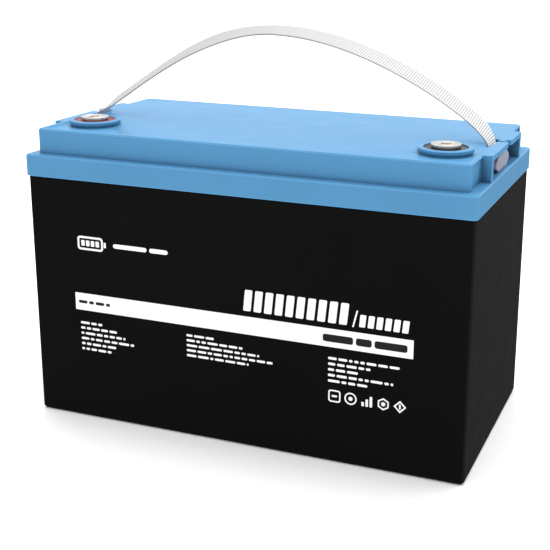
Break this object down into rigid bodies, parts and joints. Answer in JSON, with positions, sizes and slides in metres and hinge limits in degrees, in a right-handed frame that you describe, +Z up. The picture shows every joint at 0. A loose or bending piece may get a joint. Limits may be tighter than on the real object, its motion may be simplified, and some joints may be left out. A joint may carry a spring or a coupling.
{
  "type": "deep cycle battery",
  "caption": "Oblong lithium deep cycle battery: black case, stepped blue lid with two M8 posts, webbing carry strap, and cells, busbars and management board inside.",
  "frame": {"origin": "centre of the footprint, on the surface that the battery stands on", "axes": "+X along the length towards the negative post, +Y from the terminal side to the plain side, +Z up"},
  "size_m": [0.33, 0.172, 0.288],
  "materials": {
    "case_black": "satin moulded ABS, fine grain",
    "lid_blue": "satin moulded ABS, sky blue",
    "seal_grey": "cured sealing bead",
    "print_white": "screen-printed ink",
    "terminal_tin": "tin-plated brass, turned",
    "ring_red": "potted red sealing ring",
    "ring_black": "potted black sealing ring",
    "seal_rubber": "rubber O-ring",
    "plated_steel": "zinc-plated steel",
    "strap_webbing": "white woven webbing with cross ribs",
    "stop_white": "moulded white polypropylene",
    "cell_wrap": "blue PET film wrap",
    "aluminium": "plain aluminium",
    "glass_epoxy": "green glass-epoxy board",
    "band_steel": "steel band",
    "insulation_paper": "insulating paper",
    "copper": "bare copper",
    "lug_tin": "tinned copper",
    "cable_red": "red silicone insulation",
    "cable_black": "black silicone insulation",
    "nylon_white": "natural nylon",
    "board_green": "solder-masked circuit board",
    "chip_black": "moulded epoxy package",
    "lead_yellow": "thin insulated wire",
    "foam_dark": "closed-cell foam"
  },
  "bodies": {
    "battery": {"case": "case_black", "lid": "lid_blue", "lid_seal": "seal_grey", "front_print": "print_white", "terminal_positive": "terminal_tin", "terminal_negative": "terminal_tin", "terminal_ring_positive": "ring_red", "terminal_ring_negative": "ring_black", "terminal_o_rings": "seal_rubber", "terminal_nuts": "plated_steel", "terminal_lug_bolts": "plated_steel", "cell_1": "cell_wrap", "cell_2": "cell_wrap", "cell_3": "cell_wrap", "cell_4": "cell_wrap", "cell_vents": "aluminium", "cell_posts": "aluminium", "cell_nuts": "plated_steel", "cell_washers": "plated_steel", "cell_separators": "glass_epoxy", "end_plate_left": "glass_epoxy", "end_plate_right": "glass_epoxy", "pack_bands": "band_steel", "insulation_sheet": "insulation_paper", "busbar_1_2": "copper", "busbar_2_3": "copper", "busbar_3_4": "copper", "cable_lugs": "lug_tin", "cable_positive": "cable_red", "cable_pack_negative": "cable_black", "cable_bms_negative": "cable_black", "bms_tray": "glass_epoxy", "bms_standoffs": "nylon_white", "bms_tray_screws": "plated_steel", "bms_board": "board_green", "bms_mosfets": "chip_black", "bms_heat_sink": "aluminium", "bms_board_screws": "plated_steel", "bms_tabs": "copper", "bms_tab_screws": "plated_steel", "balance_socket": "nylon_white", "balance_plug": "nylon_white", "balance_leads": "lead_yellow", "balance_tags": "lug_tin", "temperature_probe": "cable_black", "foam_floor": "foam_dark", "foam_left": "foam_dark", "foam_right": "foam_dark"},
    "strap_ends": {"strap_root_left": "strap_webbing", "strap_root_right": "strap_webbing", "strap_stop_left": "stop_white", "strap_stop_right": "stop_white"},
    "strap_arch": {"strap_web": "strap_webbing"}
  },
  "joints": [
    {"name": "strap_lift", "type": "slide", "parent": "battery", "child": "strap_ends", "axis": [0, 0, 1], "range_m": [0, 0.003]},
    {"name": "strap_swing", "type": "hinge", "parent": "strap_ends", "child": "strap_arch", "pos_m": [0, 0, 0.217], "axis": [1, 0, 0], "range_deg": [-51, 29], "deforming": ["strap_root_left", "strap_root_right"]}
  ]
}
